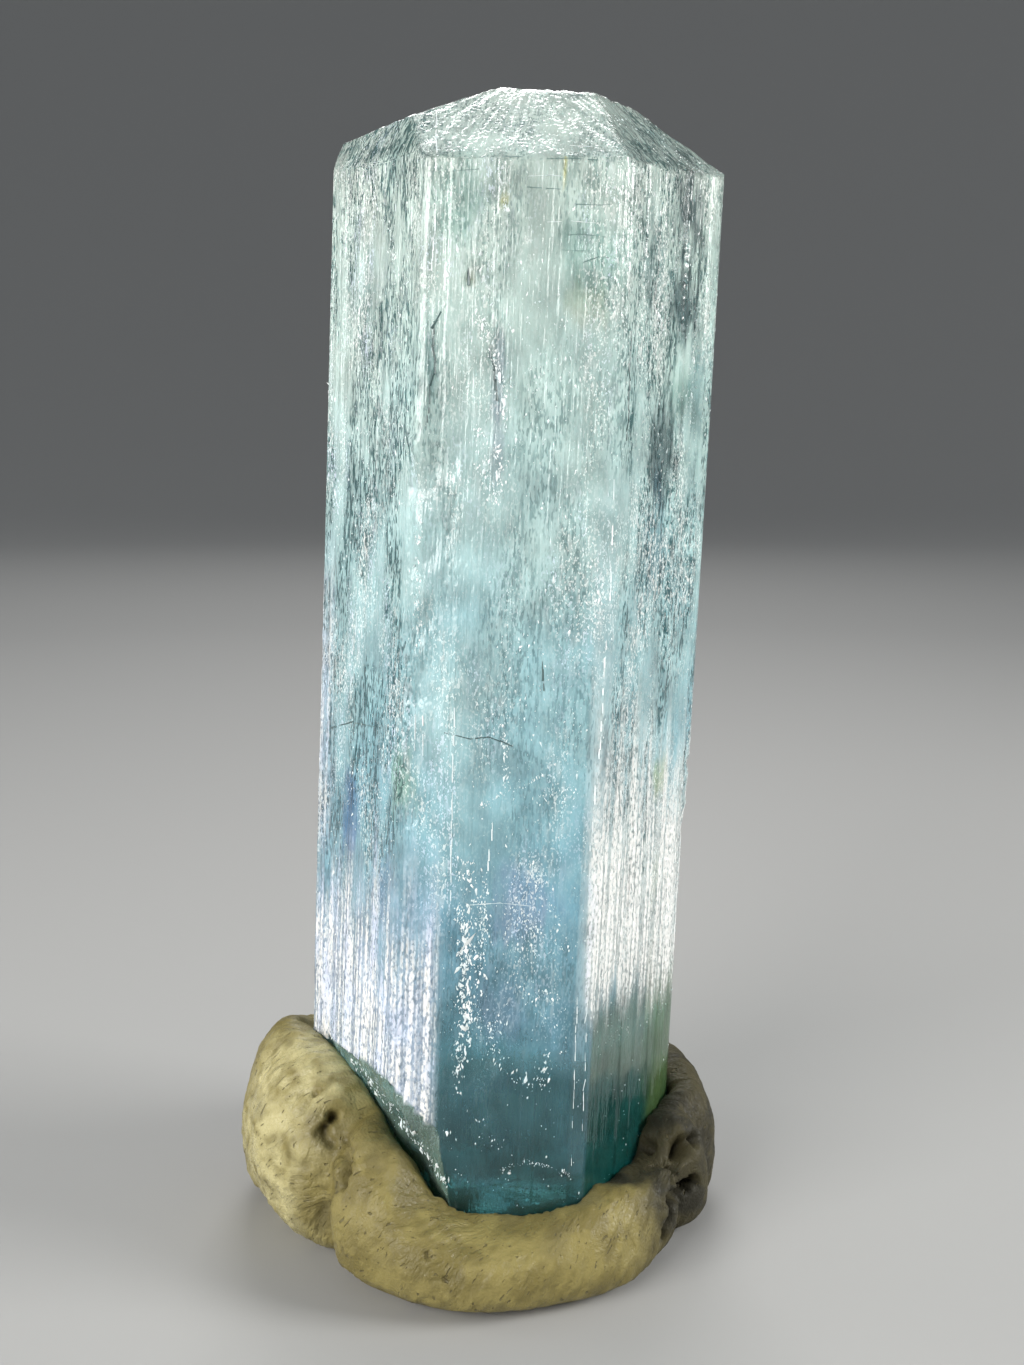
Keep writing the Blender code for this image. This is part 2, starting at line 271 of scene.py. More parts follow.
crystal = {
    "lean": 2.45,  # degrees towards +X
    "foot": (0.25, 0.0, 0.0),  # mm
    "ringStep": 0.34,  # mm between level cuts
    "gentle": (0.85, 0.998),  # upward share of the normal: gentle end facets, and the level top
    "turns": 230,  # upright cuts through the axis
    "snap": 2e-6,  # metres: a cut this near a corner passes through it
    "grooves": ((2.1, 0.03, 0.034, 5.0), (5.5, 0.07, 0.016, 6.0)),  # see waves
    "capWaves": ((2.6, 0.5, 0.05, 41.0), (7.0, 2.0, 0.035, 43.0)),
    "breakWaves": ((1.1, 1.1, 0.2, 51.0), (3.2, 3.2, 0.07, 53.0)),
    "frostWaves": ((4.2, 1.7, 0.05, 31.0),),
    "edgeWaves": ((1.0, 1.6, 0.07, 33.0),),
    "wavyEdge": (-3.8, -2.9, -6.2),  # mm: left and right limits, and what it lies in front of
    "grooveShare": (0.45, 1.35),  # where they are faint, and where they are deep
    "sideFacing": (-0.02, 0.35),  # upward share of the normal of a side face
    "breakFacing": -0.03,
    "breakTop": 9.0,  # mm
    "capFacing": (0.15, 0.4),  # upward, or rightward, share of the normal
    "capTop": 40.0,  # mm
    "capUpright": 0.05,  # sideways share of the normal under which a facet is level
    "levelFacing": (0.8, 0.97),
    "rightFace": 3.6,  # mm to the right, where it starts
    "bevel": (3.0, -6.35),  # mm: right of the first, in front of the second
    "frontFace": (-2.6, -6.0),  # the same for the front face
    "sharpFrom": 58.0,  # degrees
    "faceReach": 6.8,  # mm from the axis to a side face
    # etched zones: real relief and pits, with a near-white colour that is partly painted glare
    "frostGlare": {  # mm: limits to the side, where it starts going up, where it ends
        "left": ((1.9, 2.6), (2.0, 4.0), (10.5, 17.5)),
        "right": ((3.15, 3.6), (10.2, 12.6), (16.0, 24.0)),
        "rim": ((6.9, 7.4), (14.0, 17.0), (23.0, 30.0)),
    },
    "frostSlope": (0.4, 3.9),  # how much lower the right zone starts per mm, and from where
    "rimShare": 0.6,  # of the full frost and painted glare, on the left rim
    "backFrost": (-0.5, 2.5, 0.4),  # mm towards the back where it thins, and what is left of it
    "glass": {  # how clear, and the heights between which it clouds over, in mm
        "front": (0.75, 6.5, 15.0),
        "bevel": (0.7, 20.0, 27.0),
        "foot": (0.5, 7.6, 9.4),
    },
    "brokenClear": 0.6,
    "rightFootClear": (0.5, 0.2, 0.3),  # at the foot, and how much less in the band and over it
    "bandFrom": (7.7, 8.3),  # mm, the cloudy band of the right face
    "bandSlope": (0.35, 3.7),
    "bandTop": (10.5, 12.0),
    "footTintTop": (10.0, 12.0),
    "footGreenFrom": (6.1, 6.9),  # mm to the right
    "streakSides": (3.4, 4.4),  # mm from the middle where the sides start
    "streakLow": (12.0, 20.0),  # mm up
    "streakHigh": (26.0, 34.0),
    "litBody": (0.15, 0.6),  # brightness of the body that shows all its white streaks
    "tintEdge": (0.35, 1.15),  # share of a tint's reach where it starts to fade and ends
    "tintLimit": 1.6,
    "bevelTint": (0.45, (7.0, 12.0), (22.0, 34.0)),  # strength, mm up where it starts and ends
    "bevelColour": Vector((0.66, 0.82, 0.86)),
    "brokenColour": Vector((0.36, 0.52, 0.42)),
    # the next two are the etched zones' colours, partly painted glare
    "frostGlareColour": Vector((0.54, 0.64, 0.84)),
    "frostGlarePale": Vector((0.93, 0.95, 0.9)),
    # painted shade: these foot colours of the right face stand for the shaded tack seen through it
    "footGrey": Vector((0.17, 0.26, 0.2)),
    "footTealShade": Vector((0.006, 0.125, 0.105)),
    "footGreenShade": Vector((0.15, 0.27, 0.08)),
    "tones": {
        "deepBlue": (0.09, 0.22, 0.42),
        "violet": (0.3, 0.4, 0.62),
        "lavender": (0.68, 0.76, 0.9),
        "teal": (0.38, 0.62, 0.55),
        "mist": (0.22, 0.37, 0.37),
        "dusk": (0.36, 0.42, 0.5),
        "slate": (0.1, 0.15, 0.16),
        "steel": (0.16, 0.32, 0.4),
        "moss": (0.3, 0.45, 0.16),
        "olive": (0.2, 0.22, 0.1),
        "paleGreen": (0.42, 0.66, 0.46),
        "yellowGreen": (0.5, 0.64, 0.25),
        "gold": (0.8, 0.77, 0.33),
        "cream": (0.66, 0.72, 0.58),
    },
    "tints": {  # picture point, mm across and up, tone, strength
        "bluePatch": ((350, 812), (1.0, 2.2), "deepBlue", 0.9),
        "blueStreak": ((385, 880), (0.8, 1.6), "deepBlue", 0.5),
        "greenPatch": ((402, 782), (0.7, 1.3), "paleGreen", 0.6),
        "yellowEdge": ((662, 775), (0.7, 1.1), "yellowGreen", 0.75),
        "yellowEdgeLow": ((655, 880), (0.5, 1.2), "yellowGreen", 0.6),
        "greenSeam": ((648, 985), (0.4, 1.6), "moss", 0.7),
        "darkShoulder": ((688, 214), (1.5, 1.7), "slate", 0.9),
        "darkRight": ((682, 305), (1.4, 1.8), "slate", 0.9),
        "darkRightMiddle": ((655, 260), (1.1, 2.6), "mist", 0.65),
        "darkRightLow": ((662, 450), (1.7, 2.3), "slate", 0.8),
        "darkRightEdgeLow": ((694, 395), (0.9, 3.0), "mist", 0.7),
        "darkRightEdge": ((688, 158), (0.8, 0.9), "slate", 0.75),
        "darkRightTop": ((655, 135), (0.6, 0.8), "mist", 0.6),
        "sparkleShade": ((499, 380), (0.3, 2.0), "dusk", 0.6),
        "sparkleShadeLow": ((497, 452), (0.3, 1.2), "dusk", 0.4),
        "crackShade": ((431, 375), (0.2, 1.6), "mist", 0.5),
        "goldGlint": ((505, 199), (0.2, 0.4), "gold", 0.7),
        "goldThread": ((565, 170), (0.08, 0.7), "gold", 0.8),
        "tealRight": ((682, 392), (0.8, 1.1), "teal", 0.6),
        "steelRight": ((655, 545), (1.4, 2.6), "steel", 0.5),
        "darkLeft": ((395, 160), (0.8, 1.3), "mist", 0.6),
        "darkLeftLow": ((368, 290), (0.7, 2.0), "mist", 0.55),
        "tealFront": ((458, 195), (1.0, 1.8), "teal", 0.6),
        "tealFrontRight": ((592, 262), (1.3, 1.7), "teal", 0.6),
        "paleFront": ((588, 305), (1.0, 1.0), "cream", 0.6),
        "oliveSpot": ((468, 277), (0.25, 0.3), "olive", 0.7),
        "violetRim": ((322, 680), (0.5, 4.0), "lavender", 0.6),
        "violetFront": ((520, 905), (1.5, 1.8), "violet", 0.55),
        "violetFrontLow": ((500, 1015), (1.2, 1.4), "violet", 0.35),
    },
}


def uprightMatrix():
    return Matrix.Translation(Vector(crystal["foot"]) * mm) @ Matrix.Rotation(
        math.radians(crystal["lean"]), 4, "Y"
    )


def cutThrough(bm, place, normal):
    bmesh.ops.bisect_plane(
        bm,
        geom=bm.verts[:] + bm.edges[:] + bm.faces[:],
        dist=crystal["snap"],
        plane_co=place,
        plane_no=normal,
    )


def cutFaces(bm, faces, planes):
    # planes are pairs of a place and a normal, and cut only these faces
    geometry = set(faces)
    for face in faces:
        geometry.update(face.edges, face.verts)
    for place, normal in planes:
        geometry = bmesh.ops.bisect_plane(
            bm, geom=list(geometry), dist=crystal["snap"], plane_co=place, plane_no=normal
        )["geom"]


def gridTop(bm):
    # the small level top gets an even grid in place of wedges
    wedges = [f for f in bm.faces if f.normal.z > crystal["gentle"][1]]
    bmesh.ops.dissolve_faces(bm, faces=wedges, use_verts=False)
    count = int(crystal["faceReach"] / crystal["ringStep"])
    for normal in (Vector((1, 0, 0)), Vector((0, 1, 0))):
        steps = [i * crystal["ringStep"] * mm for i in range(-count, count + 1)]
        level = [f for f in bm.faces if f.normal.z > crystal["gentle"][1]]
        cutFaces(bm, level, [(normal * step, normal) for step in steps])


def isBroken(place, normal):
    return place.z < crystal["breakTop"] and normal.z < crystal["breakFacing"]


def capShare(normal):
    return smoothStep(normal.z, *crystal["capFacing"])


def bevelAt(place):
    # the narrow front right bevel
    right, front = crystal["bevel"]
    return place.x > right and place.y < front


def waves(place, sizes):
    # lengthwise ripples; each size is per mm across, per mm along, height in mm and a seed
    return sum(rise * streak(place, across, along, seed) for across, along, rise, seed in sizes)


def zoneShare(side, low, high, limits):
    # 1 past a limit to the side, over a lower one and under an upper one
    across, start, end = limits
    return smoothStep(side, *across) * smoothStep(low, *start) * (1.0 - smoothStep(high, *end))


def sloped(place, slope):
    rise, origin = slope
    return place.z + rise * (place.x - origin)


def frostGlareAt(place, normal):
    # etched zones with a near-white colour that is partly painted glare: low on the left faces, a band on
    # the right face, and the left rim
    if isBroken(place, normal):
        return 0.0
    ragged = 3.5 * streak(place, 1.6, 0.12, 4.0) + 1.5 * streak(place, 4.0, 0.6, 9.0)
    start = sloped(place, crystal["frostSlope"]) + 0.35 * ragged
    left = zoneShare(-place.x, place.z, place.z + ragged, crystal["frostGlare"]["left"])
    right = zoneShare(place.x, start, place.z + ragged, crystal["frostGlare"]["right"])
    rim = crystal["rimShare"] * zoneShare(-place.x, place.z, place.z, crystal["frostGlare"]["rim"])
    thins, ends, kept = crystal["backFrost"]
    return max(left, right, rim) * (1.0 - (1.0 - kept) * smoothStep(place.y, thins, ends))


def glassShare(height, zone):
    clear, low, high = crystal["glass"][zone]
    return clear * (1.0 - smoothStep(height, low, high))


def clearAt(place, normal):
    # glassy zones: the lower front, the narrow front right bevel, the foot and the break
    ragged = 2.5 * streak(place, 0.9, 0.14, 61.0) + 1.2 * streak(place, 3.0, 0.5, 63.0)
    left, front = crystal["frontFace"]
    if isBroken(place, normal):
        return crystal["brokenClear"]
    if place.y < front and left < place.x < crystal["rightFace"]:
        return glassShare(place.z + ragged, "front")
    if bevelAt(place):
        return glassShare(place.z + ragged, "bevel")
    if place.x > crystal["rightFace"]:
        foot, inBand, above = crystal["rightFootClear"]
        return foot - inBand * footLevel(place) - above * smoothStep(place.z, *crystal["bandTop"])
    return glassShare(place.z + 0.3 * ragged, "foot")


def footLevel(place):
    # 0 in the dark glassy foot of the right face, 1 in the cloudy band over it
    ragged = 0.3 * streak(place, 1.2, 1.2, 65.0)
    return smoothStep(sloped(place, crystal["bandSlope"]) + ragged, *crystal["bandFrom"])


def reliefAt(place, normal, frostGlare, clear):
    # how far the grown or broken skin stands out, in mm
    low, high = crystal["sideFacing"]
    if low < normal.z < high:
        faint, deep = crystal["grooveShare"]
        patch = faint + (deep - faint) * smoothStep(streak(place, 0.35, 0.09, 21.0), -0.3, 0.5)
        height = patch * waves(place, crystal["grooves"]) * (1.0 - 0.75 * clear)
        left, right, front = crystal["wavyEdge"]
        if left < place.x < right and place.y < front:
            height += waves(place, crystal["edgeWaves"])
        return height + frostGlare * waves(place, crystal["frostWaves"])
    return waves(place, crystal["capWaves" if normal.z > 0.0 else "breakWaves"])


def streakShares(place, normal, clear, body):
    # how strongly the white and the dark lengthwise streaks show
    side = smoothStep(abs(place.x), *crystal["streakSides"]) * smoothStep(place.z, *crystal["streakLow"])
    left = smoothStep(-place.x, *crystal["streakSides"]) * smoothStep(place.z, *crystal["streakHigh"])
    cap = capShare(normal)
    rightCapShade = cap * smoothStep(normal.x, *crystal["capFacing"])
    level = smoothStep(normal.z, *crystal["levelFacing"])
    lit = smoothStep(max(body), *crystal["litBody"])
    whites = smoothStep(drift(place, 0.55, 0.2, 111.0), -0.25, 0.6)
    darks = smoothStep(drift(place, 0.65, 0.22, 113.0), -0.45, 0.35)
    whites = (0.12 + 0.5 * whites) * (1.0 + 0.4 * side - 0.65 * cap) * (1.0 - clear)
    # painted shade: fewer white streaks on the end facets that face right
    whites *= (1.0 - 0.4 * rightCapShade) * (0.15 + 0.85 * lit)
    darks *= (0.65 + 1.1 * side + 0.5 * left + 0.3 * cap) * (1.0 - 0.7 * clear) * (1.0 - 0.6 * level)
    darks += 0.4 * side * (1.0 - lit)
    if place.x > crystal["rightFace"] and not bevelAt(place):
        whites *= 0.3 + 0.7 * smoothStep(place.z, *crystal["bandTop"])
    return whites, darks


def tintCentres(toPart):
    tree = nodeTree("crystal")
    centres = []
    for name, (pixel, reach, tone, strength) in crystal["tints"].items():
        place, _ = touched(tree, *pixel)
        if place is None:
            raise RuntimeError(f"the tint {name} misses the crystal")
        centres.append((toPart.inverted() @ place / mm, reach, Vector(crystal["tones"][tone]), strength))
    return centres


def tintAt(place, centres):
    share, colour = 0.0, Vector((0.0, 0.0, 0.0))
    for centre, (across, up), tone, strength in centres:
        rise = (place.z - centre.z) / up
        side = math.hypot(place.x - centre.x, place.y - centre.y) / across
        if max(abs(rise), side) > crystal["tintLimit"]:
            continue
        ragged = 0.45 * streak(place, 1.8, 0.7, 71.0) + 0.5 * streak(place, 4.5, 1.3, 73.0)
        weight = strength * (1.0 - smoothStep(math.hypot(rise, side) + ragged, *crystal["tintEdge"]))
        share, colour = share + weight, colour + tone * weight
    if bevelAt(place):
        strength, start, end = crystal["bevelTint"]
        weight = strength * smoothStep(place.z, *start) * (1.0 - smoothStep(place.z, *end))
        share, colour = share + weight, colour + crystal["bevelColour"] * weight
    return min(share, 1.0), colour / max(share, 1e-6)


def bodyAt(place, normal, frostGlare, centres):
    # the colour inside the crystal, without its streaks
    level = place.z + 3.5 * drift(place, 0.3, 0.3, 101.0)
    stops = beryl["byHeight"]
    colour = Vector(stops[0][1])
    for (low, _), (high, tone) in zip(stops, stops[1:]):
        colour = colour.lerp(Vector(tone), min(1.0, max(0.0, (level - low) / (high - low))))
    share, tint = tintAt(place, centres)
    colour = colour.lerp(tint, share)
    # painted shade: the right face's foot is tinted dark teal, greener to the right, for the shaded tack
    # seen through the crystal
    if place.x > crystal["rightFace"] and place.z < crystal["footTintTop"][1] and not bevelAt(place):
        greener = smoothStep(place.x + 0.3 * streak(place, 1.0, 0.5, 67.0), *crystal["footGreenFrom"])
        foot = crystal["footTealShade"].lerp(crystal["footGreenShade"], greener)
        band = crystal["footGrey"].lerp(crystal["footGreenShade"], 0.6 * greener)
        foot = foot.lerp(band, footLevel(place))
        colour = colour.lerp(foot, 0.9 - 0.9 * smoothStep(place.z, *crystal["footTintTop"]))
    if isBroken(place, normal):
        colour = colour.lerp(crystal["brokenColour"], 0.75)
    # painted glare: the etched zones are paled, lavender-blue on the left and near-white on the right
    pale = crystal["frostGlarePale" if place.x > 0.0 else "frostGlareColour"]
    colour = colour.lerp(pale, 0.8 * frostGlare)
    tone = 1.3 * drift(place, 0.6, 0.6, 103.0) + 0.9 * drift(place, 1.8, 1.1, 105.0)
    tone = 0.98 + 0.24 * max(-1.0, min(1.0, tone))
    # painted shade: the end facets are darkened, those facing right more
    capShade = 0.2 + 0.2 * smoothStep(normal.x, *crystal["capFacing"])
    return colour * tone * (1.0 - capShade * capShare(normal))


def flattened(place, normal):
    # places on the end facets slid out level with the side faces, so that streaks run down the slope
    side = Vector((normal.x, normal.y, 0.0))
    if normal.z < 0.1 or place.z < crystal["capTop"] or side.length < crystal["capUpright"]:
        return place
    side.normalize()
    slide = crystal["faceReach"] - place.dot(side)
    return place + side * slide + Vector((0.0, 0.0, slide))


def buildCrystal():
    toPart = uprightMatrix()
    bm = nodeMesh("crystal")
    bmesh.ops.transform(bm, matrix=toPart.inverted(), verts=bm.verts)
    bmesh.ops.dissolve_limit(bm, angle_limit=math.radians(0.4), verts=bm.verts, edges=bm.edges)
    low = min(v.co.z for v in bm.verts)
    high = max(v.co.z for v in bm.verts)
    rings = int((high - low) / (crystal["ringStep"] * mm))
    for i in range(1, rings):
        cutThrough(bm, (0, 0, low + (high - low) * i / rings), (0, 0, 1))
    bm.normal_update()
    between = [low + (high - low) * (i + share) / rings for i in range(rings) for share in (1 / 3, 2 / 3)]
    gentle = [f for f in bm.faces if crystal["gentle"][0] < f.normal.z < crystal["gentle"][1]]
    cutFaces(bm, gentle, [(Vector((0, 0, level)), Vector((0, 0, 1))) for level in between])
    for i in range(crystal["turns"]):
        bearing = math.pi * i / crystal["turns"]
        cutThrough(bm, (0, 0, 0), (math.cos(bearing), math.sin(bearing), 0))
    bm.normal_update()
    gridTop(bm)
    bmesh.ops.triangulate(bm, faces=[f for f in bm.faces if len(f.verts) > 4])
    bm.normal_update()
    report(f"crystal cut into {len(bm.faces)} faces")
    centres = tintCentres(toPart)
    grownLayer = bm.verts.layers.float_vector.new("grown")
    bodyLayer = bm.verts.layers.float_color.new("body")
    zoneLayer = bm.verts.layers.float_color.new("zones")
    moves = []
    for vert in bm.verts:
        place = vert.co / mm
        frostGlare = frostGlareAt(place, vert.normal)
        clear = clearAt(place, vert.normal) * (1.0 - frostGlare)
        body = bodyAt(place, vert.normal, frostGlare, centres)
        whites, darks = streakShares(place, vert.normal, clear, body)
        cool = smoothStep(drift(place, 1.3, 0.45, 117.0), -0.1, 0.5)
        cool *= 1.0 - smoothStep(place.x, 3.0, 4.0)
        vert[grownLayer] = flattened(place, vert.normal)
        vert[bodyLayer] = (*body, cool)
        vert[zoneLayer] = (frostGlare, clear, whites, darks)
        moves.append(vert.normal * reliefAt(place, vert.normal, frostGlare, clear) * mm)
    for vert, move in zip(bm.verts, moves):
        vert.co += move
    bmesh.ops.transform(bm, matrix=toPart, verts=bm.verts)
    thing = meshObject("aquamarineCrystal", bm)
    thing.data.shade_smooth()
    thing.data.set_sharp_from_angle(angle=math.radians(crystal["sharpFrom"]))
    return thing


beryl = {
    "byHeight": (  # mm up the crystal, colour
        (2.0, (0.02, 0.09, 0.075)),
        (7.0, (0.1, 0.31, 0.37)),
        (12.0, (0.24, 0.49, 0.62)),
        (19.0, (0.37, 0.66, 0.74)),
        (27.0, (0.6, 0.86, 0.87)),
        (36.0, (0.76, 0.95, 0.89)),
        (46.0, (0.8, 0.93, 0.84)),
    ),
    "white": (0.95, 0.95, 0.93),
    "coolWhite": (0.74, 0.8, 0.95),
    "dark": (0.14, 0.23, 0.24),
    "milky": 0.45,  # share of light let through where the crystal is cloudy
    "glassy": 0.8,
    "indexOfRefraction": 1.577,
    "absorption": (0.42, 0.84, 0.9),
    "absorptionDensity": 55.0,  # per metre
    "bumpHeight": 0.056,  # mm
    "marks": {  # per mm across and along, where they start and are full, shift, detail
        "darkFine": ((12.0, 12.0, 3.2), 0.52, 0.64, 11.0, 1.0),
        "darkWide": ((5.0, 5.0, 1.1), 0.5, 0.66, 13.0, 2.0),
        "fine": ((15.0, 15.0, 7.0), 0.56, 0.66, 23.0, 1.0),
        "wide": ((6.0, 6.0, 1.3), 0.5, 0.72, 25.0, 1.0),
        "short": ((8.0, 8.0, 4.5), 0.6, 0.68, 27.0, 1.0),
        "grain": ((9.0, 9.0, 4.6), 0.32, 0.6, 37.0, 1.0),
        "ruled": ((6.5, 6.5, 0.08), 0.36, 0.58, 39.0, 0.0),
    },
    "ridges": (9.0, 9.0, 0.5),  # per mm
    "pits": (6.5, 6.5, 3.6),
}


def berylMaterial():
    nodes = Nodes("aquamarine")
    grown = nodes.add("Attribute", attribute_name="grown").outputs["Vector"]
    body = nodes.add("Attribute", attribute_name="body")
    zones = nodes.add("Attribute", attribute_name="zones")
    split = nodes.add("SeparateColor", {0: zones.outputs["Color"]})
    frostGlare, clear, whiteShare = split.outputs
    darkShare = zones.outputs["Alpha"]
    marks = {name: patches(nodes, grown, *values) for name, values in beryl["marks"].items()}

    # dark lengthwise streaks
    darks = maths(nodes, "MULTIPLY", marks["darkFine"], 0.85)
    darks = most(nodes, darks, maths(nodes, "MULTIPLY", marks["darkWide"], 0.7))
    darks = maths(nodes, "MULTIPLY", darks, darkShare)
    shade = mixed(nodes, 1.0, body.outputs["Color"], beryl["dark"], "MULTIPLY")
    colour = mixed(nodes, darks, body.outputs["Color"], shade)

    # white lengthwise streaks and the etched zones
    wide = maths(nodes, "MULTIPLY", marks["wide"], 0.5)
    whites = most(nodes, marks["fine"], wide, marks["short"])
    whites = maths(nodes, "MULTIPLY", whites, whiteShare)
    cover = maths(nodes, "MULTIPLY", marks["grain"], ranged(nodes, marks["ruled"], 0.0, 1.0, 0.38, 1.0))
    cover = maths(nodes, "MULTIPLY_ADD", marks["ruled"], 0.34, cover)
    # the etched zones add near-white, which is partly painted glare
    whites = most(nodes, whites, maths(nodes, "MULTIPLY", frostGlare, cover))
    glint = mixed(nodes, body.outputs["Alpha"], beryl["white"], beryl["coolWhite"])
    colour = mixed(nodes, whites, colour, glint)
    nodes.link(colour, "Base Color")

    cloudy = ranged(nodes, clear, 0.0, 1.0, beryl["milky"], beryl["glassy"])
    solid = maths(nodes, "MULTIPLY_ADD", whites, -0.85, 1.0)
    nodes.link(maths(nodes, "MULTIPLY", cloudy, solid), "Transmission Weight")
    rough = ranged(nodes, clear, 0.0, 1.0, 0.15, 0.05)
    nodes.link(maths(nodes, "MULTIPLY_ADD", whites, 0.3, rough), "Roughness")

    ridges, pits = (cloud(nodes, grown, beryl[name], 1.0) for name in ("ridges", "pits"))
    pitting = ranged(nodes, frostGlare, 0.0, 1.0, 0.7, 3.0)
    relief = maths(nodes, "MULTIPLY_ADD", pits, pitting, ridges)
    relief = maths(nodes, "MULTIPLY", relief, ranged(nodes, clear, 0.0, 1.0, 1.0, 0.25))
    bump = {"Height": relief, "Strength": 0.7, "Distance": beryl["bumpHeight"] * mm}
    nodes.link(nodes.add("Bump", bump).outputs[0], "Normal")
    nodes.shader.inputs["IOR"].default_value = beryl["indexOfRefraction"]

    absorbing = nodes.add("VolumeAbsorption")
    absorbing.inputs["Color"].default_value = (*beryl["absorption"], 1.0)
    absorbing.inputs["Density"].default_value = beryl["absorptionDensity"]
    nodes.tree.links.new(absorbing.outputs[0], nodes.tree.nodes["Material Output"].inputs["Volume"])
    return nodes.material


# flecks, cracks and fine lines in the crystal's skin; the white of the flecks and bright lines is partly
# painted glints and highlights

# the white flecks are etch marks whose bright white is partly painted glints
flecks = {
    "seed": 11,
    "scattered": 9500,
    "size": (0.032, 0.095),  # half width and half length in mm, on average
    "height": 0.03,
    "pixelsPerMm": 24.0,
    "footShare": 0.15,  # of the usual crowd, on the right face's dark foot
    "threadStep": 9.0,  # pixels between the bends of a line
    "threadWander": 0.5,
    "threadOverlap": 1.15,
    "clusters": (  # picture points along each, how many, spread in mm, size
        (((478, 310), (492, 350), (503, 385), (505, 420)), 150, 0.25, 1.0),
        (((476, 430), (484, 470), (495, 500)), 120, 0.4, 1.0),
        (((497, 440), (500, 470), (496, 500)), 60, 0.2, 1.1),
        (((438, 110), (436, 170), (431, 250), (425, 330)), 60, 0.1, 0.8),
        (((420, 490), (418, 560), (419, 650)), 120, 0.2, 1.0),
        (((597, 560), (600, 600), (592, 625)), 130, 0.4, 0.8),
        (((672, 565), (678, 600)), 30, 0.25, 1.0),
        (((505, 735), (507, 768), (505, 798)), 60, 0.14, 0.9),
        (((480, 808), (500, 795), (545, 775)), 40, 0.12, 0.8),
        (((535, 800), (575, 790)), 40, 0.25, 0.8),
        (((465, 860), (480, 920), (476, 990)), 220, 0.5, 1.0),
        (((455, 1000), (500, 1060)), 80, 0.5, 0.8),
        (((500, 940), (560, 1050)), 110, 0.8, 0.8),
        (((540, 880), (565, 960)), 70, 0.5, 0.8),
        (((530, 862), (536, 880)), 40, 0.25, 1.0),
        (((508, 905), (530, 925), (545, 940)), 70, 0.5, 0.9),
        (((470, 1010), (500, 1030)), 60, 0.4, 0.8),
        (((512, 1075), (540, 1085), (548, 1060)), 60, 0.3, 1.0),
        (((540, 990), (560, 1000)), 25, 0.25, 0.9),
        (((480, 1130), (500, 1150)), 20, 0.4, 0.7),
        (((500, 1170), (524, 1161), (548, 1166), (570, 1174)), 70, 0.06, 0.6),
        (((505, 195), (506, 215)), 8, 0.1, 0.9),
        (((530, 360), (545, 400)), 40, 0.5, 0.7),
        (((500, 640), (560, 650)), 40, 0.8, 0.6),
        (((461, 905), (464, 960), (463, 1030), (457, 1085)), 240, 0.35, 1.0),
        (((466, 930), (467, 1000), (462, 1060)), 100, 0.3, 2.0),
        (((486, 880), (482, 960)), 70, 0.15, 0.9),
        (((604, 184), (616, 192)), 40, 0.3, 0.8),
        (((640, 195), (634, 260)), 50, 0.25, 0.9),
        (((684, 235), (694, 262)), 40, 0.2, 0.9),
        (((470, 270), (500, 262)), 14, 0.4, 0.9),
        (((652, 345), (668, 290), (686, 225)), 110, 0.22, 0.9),
        (((640, 235), (655, 290), (664, 340)), 70, 0.18, 0.8),
        (((700, 300), (694, 360), (688, 420)), 60, 0.15, 0.9),
        (((640, 420), (668, 470), (655, 520)), 80, 0.5, 0.8),
        (((352, 215), (372, 192), (392, 232), (398, 300)), 70, 0.12, 0.9),
        (((352, 1058), (390, 1106), (420, 1145), (447, 1184)), 130, 0.13, 1.5),
    ),
}
